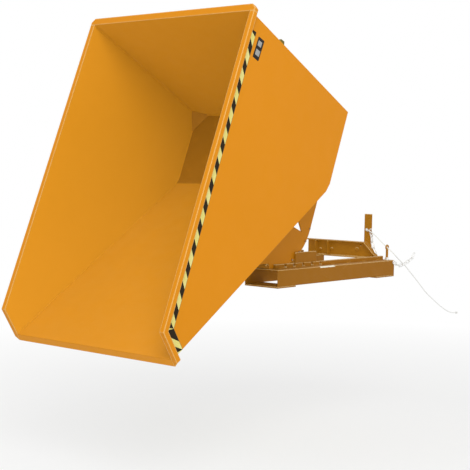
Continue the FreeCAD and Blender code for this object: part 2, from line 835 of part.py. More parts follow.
# Links hooked through each other along a route, every other one turned a quarter.
def make_chain(name, route, flat_side, turned_side):
    step = value("link_length - 2 * link_wire - link_play")
    points = [Vector(*place) for place in route]
    joints = [points[0]]
    for start, end in zip(points, points[1:]):
        walk = (end - start).normalize()
        for millimetre in range(int((end - start).Length)):
            place = start + walk * millimetre
            if (place - joints[-1]).Length >= step:
                joints.append(joints[-1] + (place - joints[-1]).normalize() * step)
    links = []
    for number, (start, end) in enumerate(zip(joints, joints[1:])):
        links.append(chain_link(start, end, turned_side if number % 2 else flat_side))
    print(f"{name}: {len(links)} links")
    add_shape(name, Part.makeCompound(links))


# The rope is tight from the knot to the eye, and then falls away behind the base.
tight_route = [
    (181.5, -22, 164.9),
    (211, -21, 154.2),
    (245, -19.5, 128),
    (279, -17.5, 97),
    (310, -16, 75),
]
trailing_route = [
    (310, -16, 75),
    (330, -15.03, 60.8),
    (341, 12, 36),
    (340, 56, 9),
    (336, 104, -15),
    (331, 154, -40),
    (330, 212, -80),
    (330, 276, -124),
    (331, 334, -167),
    (330, 392, -209),
    (330, 462, -248),
    (331, 528, -284),
    (330, 593, -316),
    (330, 642, -337),
    (331, 688, -352),
    (330, 728, -359),
    (330, 764, -361),
]
# From the lever's near edge down to the channel's end.
lever_chain_route = [
    (195, -14, 170),
    (203, -14.5, 135.5),
    (207, -16, 100.4),
    (218.3, -18, 67.8),
    (241, -20.3, 34.7),
]
# From the near pocket's rear end, slack and then up again.
safety_chain_route = [
    (353.3, -14, -6),
    (353.3, 18.5, -20),
    (353.3, 52, -31),
    (353.3, 103, -22),
    (353.3, 156, -6.5),
    (353.3, 205, 14),
    (353.3, 216, 54),
]
notch_count = 5
# how much of the shorter run beside a bend in the rope its arc takes
tangent_share = 0.45

make_floor_sheet()
make_rear_wall()
make_rear_rim()
make_rear_lug()
make_roll_tube()
for name, side in sides.items():
    make_side_panel(name, side)
    make_side_rim(name, side)
    make_corner_gusset(name, side)
    make_rocker_web(name, side)
    make_rocker_pegs(name, side)
    make_fork_pocket(name, side)
    make_straps(name, side)
    make_guide_bar(name, side)
    make_guide_plate(name, side)
make_stop_bar()
make_cross_member()
make_ribs()
make_channel_bolts()
make_pivot_bolt()
make_release_lever()
make_eye_bolt()
make_eye_nut()
make_rope_knot()
make_end_knot(trailing_route)
tube_along("release_rope_tight", tight_route, value("rope_diameter"))
tube_along("release_rope_trailing", trailing_route, value("rope_diameter"))
make_chain("lever_chain", lever_chain_route, Vector(1, 0, 0), Vector(0, 1, 0))
make_chain("safety_chain", safety_chain_route, Vector(0, 0, 1), Vector(1, 0, 0))

doc.recompute()
for item in doc.Objects:
    if "Invalid" in item.State or "Error" in item.State:
        raise RuntimeError(f"{item.Label} could not be worked out: {item.State}")
for node in nodes:
    if node.Shape.isNull() or not node.Shape.isValid():
        raise RuntimeError(f"{node.Label} has no valid shape")
for node in nodes:
    node.Shape.exportStep(f"parts/{node.Label}.step")
    print(f"{node.Label}: {len(node.Shape.Solids)} solids, {node.Shape.Volume:.0f} cubic millimetres")
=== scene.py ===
import json
import math
import random

import bmesh
import bpy
from mathutils import Matrix, Vector


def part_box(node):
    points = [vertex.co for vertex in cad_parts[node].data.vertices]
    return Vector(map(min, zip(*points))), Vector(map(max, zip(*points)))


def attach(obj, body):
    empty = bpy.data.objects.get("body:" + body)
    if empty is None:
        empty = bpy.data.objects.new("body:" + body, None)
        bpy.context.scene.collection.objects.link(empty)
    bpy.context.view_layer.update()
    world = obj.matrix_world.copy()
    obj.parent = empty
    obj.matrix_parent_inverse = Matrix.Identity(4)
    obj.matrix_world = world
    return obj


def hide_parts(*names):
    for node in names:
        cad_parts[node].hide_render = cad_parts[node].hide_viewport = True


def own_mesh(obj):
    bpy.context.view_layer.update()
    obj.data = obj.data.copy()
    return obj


# A self dumping hopper, tipped forward on its base. Metres, +Z up, the load leaves towards -Y.
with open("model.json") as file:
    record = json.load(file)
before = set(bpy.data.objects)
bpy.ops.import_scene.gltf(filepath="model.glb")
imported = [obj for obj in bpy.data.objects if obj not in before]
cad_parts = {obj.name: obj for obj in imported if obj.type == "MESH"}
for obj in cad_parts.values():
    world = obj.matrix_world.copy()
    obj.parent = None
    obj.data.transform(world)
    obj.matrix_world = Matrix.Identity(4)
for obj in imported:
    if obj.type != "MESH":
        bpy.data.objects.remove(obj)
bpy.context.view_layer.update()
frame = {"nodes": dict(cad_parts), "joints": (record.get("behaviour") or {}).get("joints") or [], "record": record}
nodes = frame["nodes"]
joints = {joint["name"]: joint for joint in frame["joints"]}
sideNames = {"left": -1, "right": 1}
print("frame loaded:", len(nodes), "nodes")

# The bin's own upright frame: y to the rear and z up, from the bottom's front corner.
binShape = {
    "height": 0.894,
    "baseLength": 0.416,
    "frontReach": 1.003,
    "rearLean": math.radians(6.29),
    "lipAngle": math.radians(53.13),
    "lipLength": 0.185,
    "lipFlange": 0.0365,
    "facetLeg": 0.026,
    "sheet": 0.004,
    "halfWidth": 0.513,
    "tubeForward": 0.1372,    # the roll tube's centre, from that same corner
    "tubeRise": 0.049,
    "webInner": 0.262,
    "webOuter": 0.272,
    "webReach": 0.635,
    "webRear": 0.380,
}
tipAngle = math.radians(joints["bin_tip"]["range_deg"][1])
tubeCentre = Vector(joints["bin_tip"]["pos_m"])
halfInside = binShape["halfWidth"] - binShape["sheet"]

lipRun = binShape["lipLength"] - binShape["lipFlange"]
slantOut = binShape["frontReach"] + lipRun * math.cos(binShape["lipAngle"])
slantUp = binShape["height"] - lipRun * math.sin(binShape["lipAngle"])
floorAngle = math.atan2(slantUp, slantOut) - math.asin(binShape["sheet"] / math.hypot(slantOut, slantUp))


# From the bin's upright frame to where it is with the bin tipped.
def onBin(x, y, z):
    fromTube = Vector((0, y + binShape["tubeForward"], z - binShape["tubeRise"]))
    turned = Matrix.Rotation(tipAngle, 3, "X") @ fromTube
    return Vector((x, tubeCentre.y + turned.y, tubeCentre.z + turned.z))


def binWay(y, z):
    return (Matrix.Rotation(tipAngle, 3, "X") @ Vector((0, y, z))).normalized()


# Camera, at the photograph's viewing angle.
cameraView = {
    "place": (3.839, -5.591, 0.502),
    "azimuth": math.radians(39.88),
    "down": math.radians(3.28),
    "roll": math.radians(1.18),
    "focalPixels": 1152.5,
    "framePixels": 470,
    "sensor": 36,
}


def makeCamera():
    azimuth, down, roll = cameraView["azimuth"], cameraView["down"], cameraView["roll"]
    ahead = Vector((-math.sin(azimuth) * math.cos(down), math.cos(azimuth) * math.cos(down), -math.sin(down)))
    level = ahead.cross(Vector((0, 0, 1))).normalized()
    upright = level.cross(ahead)
    across = math.cos(roll) * level + math.sin(roll) * upright
    up = across.cross(ahead)
    turn = Matrix((across, up, -ahead)).transposed().to_4x4()
    data = bpy.data.cameras.new("photoCamera")
    data.sensor_width = cameraView["sensor"]
    data.lens = cameraView["sensor"] * cameraView["focalPixels"] / cameraView["framePixels"]
    data.clip_end = 100
    camera = bpy.data.objects.new("photoCamera", data)
    camera.matrix_world = Matrix.Translation(cameraView["place"]) @ turn
    bpy.context.scene.collection.objects.link(camera)
    bpy.context.scene.camera = camera


makeCamera()
print("camera placed")


# A node that feeds others: its kind, its values by socket name, and what its sockets are linked to.
def addNode(tree, kind, values=None, links=None, **settings):
    node = tree.nodes.new(kind)
    for name, setting in settings.items():
        setattr(node, name, setting)
    for socket, setting in (values or {}).items():
        node.inputs[socket].default_value = setting
    for socket, source in (links or {}).items():
        tree.links.new(source, node.inputs[socket])
    return node


def objectPlace(tree):
    return addNode(tree, "ShaderNodeTexCoord").outputs["Object"]


def addNoise(tree, place, scale, detail, roughness=0.5):
    values = {"Scale": scale, "Detail": detail, "Roughness": roughness}
    return addNode(tree, "ShaderNodeTexNoise", values, {"Vector": place}).outputs["Fac"]


# How far up a normal points.
def heightOf(tree, normal):
    return addNode(tree, "ShaderNodeSeparateXYZ", links={"Vector": normal}).outputs["Z"]


# One for the rays that show the background: straight to the camera, mirrored or let through.
def directRays(tree):
    seen = addNode(tree, "ShaderNodeLightPath").outputs
    rays = calculate(tree, "ADD", seen["Is Camera Ray"], seen["Is Glossy Ray"], clamp=True)
    return calculate(tree, "ADD", rays, seen["Is Transmission Ray"], clamp=True)


def startGroup(name, inputs, outputs):
    tree = bpy.data.node_groups.new(name, "ShaderNodeTree")
    for label, kind, start in inputs:
        socket = tree.interface.new_socket(name=label, in_out="INPUT", socket_type=f"NodeSocket{kind}")
        socket.default_value = start
    for label, kind in outputs:
        tree.interface.new_socket(name=label, in_out="OUTPUT", socket_type=f"NodeSocket{kind}")
    return tree, tree.nodes.new("NodeGroupInput"), tree.nodes.new("NodeGroupOutput")


def useGroup(tree, group, values=None, links=None):
    return addNode(tree, "ShaderNodeGroup", values, links, node_tree=group)


def mixColour(tree, mask, first, second):
    node = tree.nodes.new("ShaderNodeMix")
    node.data_type = "RGBA"
    node.clamp_factor = True
    tree.links.new(mask, node.inputs[0])
    for place, colour in ((6, first), (7, second)):
        if isinstance(colour, tuple):
            node.inputs[place].default_value = colour
        else:
            tree.links.new(colour, node.inputs[place])
    return node.outputs[2]


def calculate(tree, kind, first, second, clamp=False):
    node = tree.nodes.new("ShaderNodeMath")
    node.operation = kind
    node.use_clamp = clamp
    for place, source in enumerate((first, second)):
        if isinstance(source, (int, float)):
            node.inputs[place].default_value = source
        else:
            tree.links.new(source, node.inputs[place])
    return node.outputs[0]


def stretch(tree, source, fromLow, fromHigh, low=0.0, high=1.0):
    values = {"From Min": fromLow, "From Max": fromHigh, "To Min": low, "To Max": high}
    return addNode(tree, "ShaderNodeMapRange", values, {"Value": source}).outputs["Result"]


# Where the surface folds or ends: a mask on the edges that look up, which carries a painted highlight, and a
# normal that rounds them.
def makeEdgeHighlightGroup():
    tree, given, result = startGroup(
        "edgeHighlightAndRound",
        [("Radius", "Float", 0.003), ("Sharpness", "Float", 0.10), ("Lowest", "Float", 0.0)],
        [("Mask", "Float"), ("Normal", "Vector")],
    )
    bevel = addNode(tree, "ShaderNodeBevel", links={"Radius": given.outputs["Radius"]}, samples=6)
    flat = addNode(tree, "ShaderNodeNewGeometry")
    meet = addNode(tree, "ShaderNodeVectorMath", operation="DOT_PRODUCT")
    tree.links.new(bevel.outputs[0], meet.inputs[0])
    tree.links.new(flat.outputs["Normal"], meet.inputs[1])
    away = calculate(tree, "SUBTRACT", 1.0, meet.outputs["Value"], clamp=True)
    share = calculate(tree, "DIVIDE", away, given.outputs["Sharpness"], clamp=True)
    above = calculate(tree, "SUBTRACT", heightOf(tree, bevel.outputs[0]), given.outputs["Lowest"])
    tree.links.new(calculate(tree, "MULTIPLY", share, stretch(tree, above, 0.0, 0.2)), result.inputs["Mask"])
    tree.links.new(bevel.outputs[0], result.inputs["Normal"])
    return tree


# Sprayed paint: broad clouds of tone, and the fine skin that it dries with.
def makePaintGroup():
    tree, given, result = startGroup(
        "sprayedPaint",
        [("Color", "Color", (0.7, 0.3, 0.02, 1)), ("Clouding", "Float", 0.3), ("Peel Size", "Float", 0.004)],
        [("Color", "Color"), ("Gloss Noise", "Float"), ("Height", "Float")],
    )
    place = objectPlace(tree)
    clouds = addNoise(tree, place, 2.3, 3.0, 0.45)
    patches = addNoise(tree, place, 14.0, 4.0, 0.6)
    deeper = {"Value": 0.86, "Saturation": 1.03}
    shade = addNode(tree, "ShaderNodeHueSaturation", deeper, {"Color": given.outputs["Color"]})
    both = calculate(tree, "ADD", clouds, calculate(tree, "MULTIPLY", patches, 0.35))
    mask = calculate(tree, "MULTIPLY", stretch(tree, both, 0.5, 0.9), given.outputs["Clouding"])
    clouded = mixColour(tree, mask, given.outputs["Color"], shade.outputs["Color"])
    tree.links.new(clouded, result.inputs["Color"])
    tree.links.new(patches, result.inputs["Gloss Noise"])
    finer = calculate(tree, "DIVIDE", 1.0, given.outputs["Peel Size"])
    coarse = {"Detail": 1.5, "Roughness": 0.4}
    peel = addNode(tree, "ShaderNodeTexNoise", coarse, {"Vector": place, "Scale": finer})
    tree.links.new(peel.outputs["Fac"], result.inputs["Height"])
    return tree


# Dust that settles where the surface faces up, in drifts.
def makeDustGroup():
    tree, given, result = startGroup(
        "settledDust",
        [
            ("Color", "Color", (0.5, 0.3, 0.1, 1)),
            ("Dust", "Color", (0.62, 0.44, 0.20, 1)),
            ("Amount", "Float", 0.3),
        ],
        [("Color", "Color"), ("Mask", "Float")],
    )
    height = heightOf(tree, addNode(tree, "ShaderNodeNewGeometry").outputs["Normal"])
    drift = addNoise(tree, objectPlace(tree), 9.0, 7.0, 0.65)
    lying = calculate(tree, "MULTIPLY", stretch(tree, height, 0.2, 0.95), stretch(tree, drift, 0.35, 0.7))
    mask = calculate(tree, "MULTIPLY", lying, given.outputs["Amount"])
    dusty = mixColour(tree, mask, given.outputs["Color"], given.outputs["Dust"])
    tree.links.new(dusty, result.inputs["Color"])
    tree.links.new(mask, result.inputs["Mask"])
    return tree


# Fine scratches, long one way, that only show where a broader patch lets them.
def makeScratchGroup():
    tree, given, result = startGroup("scratches", [("Density", "Float", 0.5)], [("Mask", "Float")])
    place = objectPlace(tree)
    total = None
    for turn in (0.4, 1.9, 2.8):
        turned = addNode(tree, "ShaderNodeVectorRotate", {"Angle": turn}, rotation_type="X_AXIS")
        tree.links.new(place, turned.inputs["Vector"])
        drawn = addNode(tree, "ShaderNodeVectorMath", {1: (90.0, 6.0, 260.0)}, operation="MULTIPLY")
        tree.links.new(turned.outputs[0], drawn.inputs[0])
        line = stretch(tree, addNoise(tree, drawn.outputs[0], 1.0, 2.0), 0.72, 0.78)
        total = line if total is None else calculate(tree, "MAXIMUM", total, line)
    patch = stretch(tree, addNoise(tree, place, 5.0, 3.0), 0.45, 0.65)
    where = calculate(tree, "MULTIPLY", patch, given.outputs["Density"])
    tree.links.new(calculate(tree, "MULTIPLY", total, where), result.inputs["Mask"])
    return tree


edgeHighlightGroup = makeEdgeHighlightGroup()
paintGroup = makePaintGroup()
dustGroup = makeDustGroup()
scratchGroup = makeScratchGroup()


def startMaterial(name):
    material = bpy.data.materials.new(name)
    material.use_nodes = True
    tree = material.node_tree
    shader = tree.nodes["Principled BSDF"]
    return material, tree, shader


def addBump(tree, shader, height, strength, distance, normal=None):
    links = {"Height": height}
    if normal:
        links["Normal"] = normal
    bump = addNode(tree, "ShaderNodeBump", {"Strength": strength, "Distance": distance}, links)
    tree.links.new(bump.outputs["Normal"], shader.inputs["Normal"])


# "fold" is the colour of scratches, which are wear, and of a painted highlight on the edges
# that look up at least as far as "lowest".
# "bounce" is the tone of the light that a surface passes on to its neighbours.
paints = {
    # The bin's edges all get a faint painted highlight.
    "binPaint": {
        "colour": (0.760, 0.275, 0.005, 1), "clouding": 0.15, "dust": 0.04, "scratches": 0.12,
        "fold": (0.90, 0.42, 0.08, 1), "highlightRadius": 0.003, "highlightShare": 0.3, "lowest": -1.0,
        "roughness": 0.42, "peel": 0.0035, "bounce": (0.80, 0.80, 0.72, 1),
    },
    # The base's orange darkened as painted shade; its edges that look up get a strong painted highlight.
    "baseShadedPaint": {
        "colour": (0.358, 0.138, 0.005, 1), "clouding": 0.35, "dust": 0.18, "scratches": 0.35,
        "fold": (0.98, 0.72, 0.34, 1), "highlightRadius": 0.006, "highlightShare": 1.0, "lowest": 0.0,
        "roughness": 0.46, "peel": 0.003, "bounce": (0.88, 0.78, 0.52, 1),
    },
    # Dark olive as painted shade, for the shaded side of an orange part.
    "lugShadePaint": {
        "colour": (0.19, 0.15, 0.03, 1), "clouding": 0.6, "dust": 0.3, "scratches": 0.5,
        "fold": (0.40, 0.33, 0.12, 1), "highlightRadius": 0.003, "highlightShare": 0.5, "lowest": 0.0,
        "roughness": 0.55, "peel": 0.003, "bounce": (0.19, 0.15, 0.03, 1),
    },
}
# A lighter, yellower copy of the bin's orange for the inside: painted light.
innerLitTone = (0.800, 0.308, 0.012, 1)
# A paint that differs from another in a few values; most are the orange made lighter or darker as painted
# light and shade. One colour is painted shade on the flat bottom; one box, given by its middle and half size,
# holds a near-white painted highlight on the near pocket's upper edge.
paintVariants = {
    # A strong painted highlight along the rims' folds.
    "rimHighlightPaint": ("binPaint", {"fold": (1.0, 0.66, 0.24, 1), "highlightRadius": 0.007, "highlightShare": 1.0}),
    # Inside: painted light, and painted shade on the flat bottom.
    "floorLitAndShadedPaint": ("binPaint", {"colour": innerLitTone, "highlightShare": 0.0, "stainAndShade": (0.47, 0.175, 0.006, 1)}),
    "wallLitPaint": ("binPaint", {"colour": innerLitTone}),
    # Lighter: painted light on the far side panel.
    "farLitPaint": ("binPaint", {"colour": (0.860, 0.335, 0.016, 1)}),
    # Darker: painted shade on the webs under the bin.
    "webShadedPaint": ("binPaint", {"colour": (0.600, 0.215, 0.005, 1), "clouding": 0.4}),
    # Lighter: painted light on the weld beads, against the shade in their corners.
    "seamLitPaint": ("binPaint", {"colour": (0.880, 0.345, 0.018, 1), "highlightShare": 0.0}),
    # Darker: painted shade in the bin's deep corners.
    "gussetShadedPaint": ("binPaint", {"colour": (0.560, 0.210, 0.012, 1), "highlightShare": 0.0, "clouding": 0.3}),
    # The orange darkened less than on the pockets: painted shade.
    "memberShadedPaint": ("baseShadedPaint", {"colour": (0.450, 0.185, 0.010, 1), "clouding": 0.5}),
    # A painted highlight, a near-white stretch of the near pocket's upper edge.
    "pocketGlintPaint": ("baseShadedPaint", {
        "paleEdge": ((0.350, -0.652, 0.004), (0.010, 0.072, 0.008)), "glintTone": (1.0, 0.95, 0.78, 1),
    }),
    # The base's welds in the same painted shade, without the edge highlight.
    "baseSeamShadedPaint": ("memberShadedPaint", {"highlightShare": 0.0}),
}
for name, (source, changes) in paintVariants.items():
    paints[name] = {**paints[source], **changes}
paintSkin = {
    "specular": 0.12, "glossier": 0.05, "duller": 0.1, "dustDulls": 0.4, "bump": 0.12, "depth": 0.0006,
}
# The ragged edge of the painted highlight on the near pocket's upper edge.
glintBoxEdge = {"noise": 60.0, "ragged": 0.7, "outside": 1.35, "inside": 1.15}
# How far the painted shade on the flat bottom reaches: by the way a face turns, and by the noise.
bottomShadeEdge = {"turned": 0.90, "flat": 0.96, "palest": 0.75}


# One inside a box of object space, with a ragged edge.
def raggedBox(tree, middle, reach):
    place = objectPlace(tree)
    off = addNode(tree, "ShaderNodeVectorMath", {1: middle}, {0: place}, operation="SUBTRACT")
    off = addNode(tree, "ShaderNodeVectorMath", {1: reach}, {0: off.outputs[0]}, operation="DIVIDE")
    off = addNode(tree, "ShaderNodeVectorMath", links={0: off.outputs[0]}, operation="ABSOLUTE")
    parts = addNode(tree, "ShaderNodeSeparateXYZ", links={"Vector": off.outputs[0]}).outputs
    most = calculate(tree, "MAXIMUM", calculate(tree, "MAXIMUM", parts["X"], parts["Y"]), parts["Z"])
    noise = addNoise(tree, place, glintBoxEdge["noise"], 3.0)
    ragged = calculate(tree, "ADD", most, calculate(tree, "MULTIPLY", noise, glintBoxEdge["ragged"]))
    return stretch(tree, ragged, glintBoxEdge["outside"], glintBoxEdge["inside"])


# Painted shade on the flat bottom, told by the way that it faces, and a little less where the noise is low.
def bottomShadeMask(tree, noise):
    faces = addNode(tree, "ShaderNodeVectorMath", {1: binWay(0, 1)}, operation="DOT_PRODUCT")
    tree.links.new(addNode(tree, "ShaderNodeTexCoord").outputs["Normal"], faces.inputs[0])
    bottom = stretch(tree, faces.outputs["Value"], bottomShadeEdge["turned"], bottomShadeEdge["flat"])
    return calculate(tree, "MULTIPLY", bottom, stretch(tree, noise, 0.2, 0.5, bottomShadeEdge["palest"], 1.0))


def makePaint(name):
    look = paints[name]
    material, tree, shader = startMaterial(name)
    sprayed = {"Color": look["colour"], "Clouding": look["clouding"], "Peel Size": look["peel"]}
    paint = useGroup(tree, paintGroup, sprayed)
    noise = paint.outputs["Gloss Noise"]
    scuffed = useGroup(tree, scratchGroup, {"Density": look["scratches"]})
    edge = useGroup(tree, edgeHighlightGroup, {"Radius": look["highlightRadius"], "Lowest": look["lowest"]})
    marked = mixColour(tree, scuffed.outputs["Mask"], paint.outputs["Color"], look["fold"])
    # A painted highlight on the edges, in the "fold" colour.
    lit = calculate(tree, "MULTIPLY", edge.outputs["Mask"], look["highlightShare"])
    wearAndPaintedLight = mixColour(tree, lit, marked, look["fold"])
    # A painted highlight: a near-white stretch of the near pocket's upper edge.
    if "paleEdge" in look:
        wearAndPaintedLight = mixColour(tree, raggedBox(tree, *look["paleEdge"]), wearAndPaintedLight, look["glintTone"])
    # Painted shade on the flat bottom.
    if "stainAndShade" in look:
        wearAndPaintedLight = mixColour(tree, bottomShadeMask(tree, noise), wearAndPaintedLight, look["stainAndShade"])
    dusty = useGroup(tree, dustGroup, {"Amount": look["dust"]}, {"Color": wearAndPaintedLight})
    seen = addNode(tree, "ShaderNodeLightPath")
    passedOn = mixColour(tree, seen.outputs["Is Diffuse Ray"], dusty.outputs["Color"], look["bounce"])
    tree.links.new(passedOn, shader.inputs["Base Color"])
    shader.inputs["Specular IOR Level"].default_value = paintSkin["specular"]
    low, high = look["roughness"] - paintSkin["glossier"], look["roughness"] + paintSkin["duller"]
    lying = calculate(tree, "MULTIPLY", dusty.outputs["Mask"], paintSkin["dustDulls"])
    rough = calculate(tree, "ADD", stretch(tree, noise, 0.3, 0.7, low, high), lying, clamp=True)
    tree.links.new(rough, shader.inputs["Roughness"])
    normal = edge.outputs["Normal"]
    addBump(tree, shader, paint.outputs["Height"], paintSkin["bump"], paintSkin["depth"], normal)
    return material


metals = {
    "wornSteel": {
        "bright": (0.52, 0.44, 0.33, 1), "dull": (0.42, 0.22, 0.06, 1), "metal": 0.85, "roughness": 0.38,
    },
    "zincSteel": {
        "bright": (0.95, 0.95, 0.94, 1), "dull": (0.80, 0.80, 0.78, 1), "metal": 0.6, "roughness": 0.30,
    },
}
metalSkin = {"crystals": 180.0, "stains": 40.0, "edge": 0.0012, "dust": 0.1, "bump": 0.2, "depth": 0.0004}


# Bare or plated steel with crystals or stains of a duller tone, bright on edges that look up: wear where it rubs,
# and a painted highlight.
def makeMetal(name):
    look = metals[name]
    material, tree, shader = startMaterial(name)
    place = objectPlace(tree)
    crystals = addNode(tree, "ShaderNodeTexVoronoi", {"Scale": metalSkin["crystals"]}, {"Vector": place})
    stainAndShade = addNoise(tree, place, metalSkin["stains"], 5.0)
    tint = addNode(tree, "ShaderNodeSeparateColor", links={"Color": crystals.outputs["Color"]}).outputs[0]
    tint = calculate(tree, "MULTIPLY", tint, 0.4)
    both = calculate(tree, "ADD", tint, stretch(tree, stainAndShade, 0.4, 0.75))
    mask = calculate(tree, "MULTIPLY", both, 0.7, clamp=True)
    colour = mixColour(tree, mask, look["bright"], look["dull"])
    edge = useGroup(tree, edgeHighlightGroup, {"Radius": metalSkin["edge"]})
    # A painted highlight on edges that look up, which also stands for wear where they rub.
    paleEdge = mixColour(tree, edge.outputs["Mask"], colour, look["bright"])
    dusty = useGroup(tree, dustGroup, {"Amount": metalSkin["dust"]}, {"Color": paleEdge})
    tree.links.new(dusty.outputs["Color"], shader.inputs["Base Color"])
    rough = stretch(tree, stainAndShade, 0.3, 0.7, look["roughness"] - 0.06, look["roughness"] + 0.2)
    tree.links.new(rough, shader.inputs["Roughness"])
    shader.inputs["Metallic"].default_value = look["metal"]
    addBump(tree, shader, stainAndShade, metalSkin["bump"], metalSkin["depth"], edge.outputs["Normal"])
    return material


ropeLook = {
    "fibre": (0.95, 0.95, 0.93, 1), "grime": (0.66, 0.65, 0.62, 1), "fibres": 900.0, "stains": 22.0,
    "sheen": 0.3, "bump": 0.5, "depth": 0.0003,
}


def makeRopeMaterial():
    material, tree, shader = startMaterial("rope")
    place = objectPlace(tree)
    fibres = addNoise(tree, place, ropeLook["fibres"], 3.0)
    grime = addNoise(tree, place, ropeLook["stains"], 5.0)
    lying = stretch(tree, grime, 0.5, 0.8, 0.0, 0.6)
    soiled = mixColour(tree, lying, ropeLook["fibre"], ropeLook["grime"])
    colour = mixColour(tree, stretch(tree, fibres, 0.4, 0.7, 0.0, 0.35), soiled, ropeLook["grime"])
    tree.links.new(colour, shader.inputs["Base Color"])
    tree.links.new(stretch(tree, grime, 0.3, 0.7, 0.7, 0.9), shader.inputs["Roughness"])
    shader.inputs["Sheen Weight"].default_value = ropeLook["sheen"]
    addBump(tree, shader, fibres, ropeLook["bump"], ropeLook["depth"])
    return material


films = {
    "tapeYellow": {"colour": (0.80, 0.71, 0.18, 1), "pale": (0.88, 0.82, 0.38, 1), "roughness": 0.45},
    "tapeBlack": {"colour": (0.012, 0.007, 0.001, 1), "pale": (0.030, 0.020, 0.006, 1), "roughness": 0.50},
    "tapeEdge": {"colour": (0.10, 0.07, 0.03, 1), "pale": (0.20, 0.15, 0.07, 1), "roughness": 0.5},
    "plateBlack": {"colour": (0.010, 0.009, 0.008, 1), "pale": (0.030, 0.028, 0.026, 1), "roughness": 0.5},
    "plateGrey": {"colour": (0.32, 0.32, 0.30, 1), "pale": (0.42, 0.42, 0.40, 1), "roughness": 0.45},
}
filmSkin = {
    "cells": 420.0, "fading": 16.0, "scratches": 0.3, "specular": 0.15, "bump": 0.15, "depth": 0.0002,
}


# Printed film: the small cells of a reflecting sheet under a clear face, paler where it has faded.
def makeFilm(name):
    look = films[name]
    material, tree, shader = startMaterial(name)
    place = objectPlace(tree)
    cells = addNode(tree, "ShaderNodeTexVoronoi", {"Scale": filmSkin["cells"]}, feature="DISTANCE_TO_EDGE")
    tree.links.new(place, cells.inputs["Vector"])
    faded = addNoise(tree, place, filmSkin["fading"], 5.0)
    cellEdge = stretch(tree, cells.outputs["Distance"], 0.0, 0.12, 0.5, 0.0)
    mask = calculate(tree, "ADD", stretch(tree, faded, 0.4, 0.75, 0.0, 0.7), cellEdge, clamp=True)
    colour = mixColour(tree, mask, look["colour"], look["pale"])
    scuffed = useGroup(tree, scratchGroup, {"Density": filmSkin["scratches"]})
    marked = mixColour(tree, scuffed.outputs["Mask"], colour, films["tapeEdge"]["pale"])
    tree.links.new(marked, shader.inputs["Base Color"])
    rough = stretch(tree, faded, 0.3, 0.7, look["roughness"], look["roughness"] + 0.15)
    tree.links.new(rough, shader.inputs["Roughness"])
    shader.inputs["Specular IOR Level"].default_value = filmSkin["specular"]
    addBump(tree, shader, cells.outputs["Distance"], filmSkin["bump"], filmSkin["depth"])
    return material


materials = {name: makePaint(name) for name in paints}
materials.update({name: makeMetal(name) for name in metals})
materials.update({name: makeFilm(name) for name in films})
materials["rope"] = makeRopeMaterial()
slotMaterials = {
    "bin_paint": "binPaint",
    "base_paint": "baseShadedPaint",
    "dark_olive_paint": "lugShadePaint",
    "worn_steel": "wornSteel",
    "zinc_steel": "zincSteel",
    "rope": "rope",
}
print("materials made:", len(materials))


# A piece of the object from points and faces, riding on a body.
def makePiece(name, points, faces, body, slotName, finishes=None, faceFinishes=None, smooth=True):
    mesh = bpy.data.meshes.new(name)
    mesh.from_pydata([tuple(point) for point in points], [], faces)
    for finish in finishes or [slotMaterials[slotName]]:
        mesh.materials.append(materials[finish])
    if faceFinishes:
        mesh.polygons.foreach_set("material_index", faceFinishes)
    mesh.polygons.foreach_set("use_smooth", [smooth] * len(mesh.polygons))
    shape = bmesh.new()
    shape.from_mesh(mesh)
    bmesh.ops.recalc_face_normals(shape, faces=shape.faces)
    shape.to_mesh(mesh)
    shape.free()
    piece = bpy.data.objects.new(name, mesh)
    bpy.context.scene.collection.objects.link(piece)
    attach(piece, body)
    return piece


# Rings of points, one after another, skinned and closed at both ends.
def skin(rings, points, faces):
    first = len(points)
    count = len(rings[0])
    for ring in rings:
        points.extend(ring)
    for row in range(len(rings) - 1):
        for place in range(count):
            after = (place + 1) % count
            low = first + row * count
            faces.append((low + place, low + after, low + count + after, low + count + place))
    faces.append(tuple(first + place for place in reversed(range(count))))
    last = first + (len(rings) - 1) * count
    faces.append(tuple(last + place for place in range(count)))


# Ropes. The route is the one that the solids follow, from the lever's knot to the eye and on.
ropeShape = {
    "diameter": 0.006,
    "lay": 0.021,            # along the rope for one turn of a strand
    "strands": 3,
    "strandShare": 0.62,     # of the rope's radius: a strand's own, the rest is where its middle lies
    "strandSides": 8,
    "step": 0.0022,
    "tightLength": 0.158,
    "trailingLength": 0.920,
}
tightRoute = [
    (0.1815, -0.022, 0.1649),
    (0.211, -0.021, 0.1542),
    (0.245, -0.0195, 0.128),
    (0.279, -0.0175, 0.097),
    (0.310, -0.016, 0.075),
]
trailingRoute = [
    (0.310, -0.016, 0.075),
    (0.330, -0.01503, 0.0608),
    (0.341, 0.012, 0.036),
    (0.340, 0.056, 0.009),
    (0.336, 0.104, -0.015),
    (0.331, 0.154, -0.040),
    (0.330, 0.212, -0.080),
    (0.330, 0.276, -0.124),
    (0.331, 0.334, -0.167),
    (0.330, 0.392, -0.209),
    (0.330, 0.462, -0.248),
    (0.331, 0.528, -0.284),
    (0.330, 0.593, -0.316),
    (0.330, 0.642, -0.337),
    (0.331, 0.688, -0.352),
    (0.330, 0.728, -0.359),
    (0.330, 0.764, -0.361),
]


# The line of a route: points read from its NURBS spline.
def readLine(route):
    curve = bpy.data.curves.new("route", "CURVE")
    curve.dimensions = "3D"
    curve.resolution_u = 16
    spline = curve.splines.new("NURBS")
    spline.points.add(len(route) - 1)
    for point, place in zip(spline.points, route):
        point.co = (*place, 1)
    spline.order_u = 3
    spline.use_endpoint_u = True
    holder = bpy.data.objects.new("route", curve)
    bpy.context.scene.collection.objects.link(holder)
    bpy.context.view_layer.update()
    mesh = bpy.data.meshes.new_from_object(holder)
    line = [vertex.co.copy() for vertex in mesh.vertices]
    bpy.data.objects.remove(holder)
    bpy.data.meshes.remove(mesh)
    return line


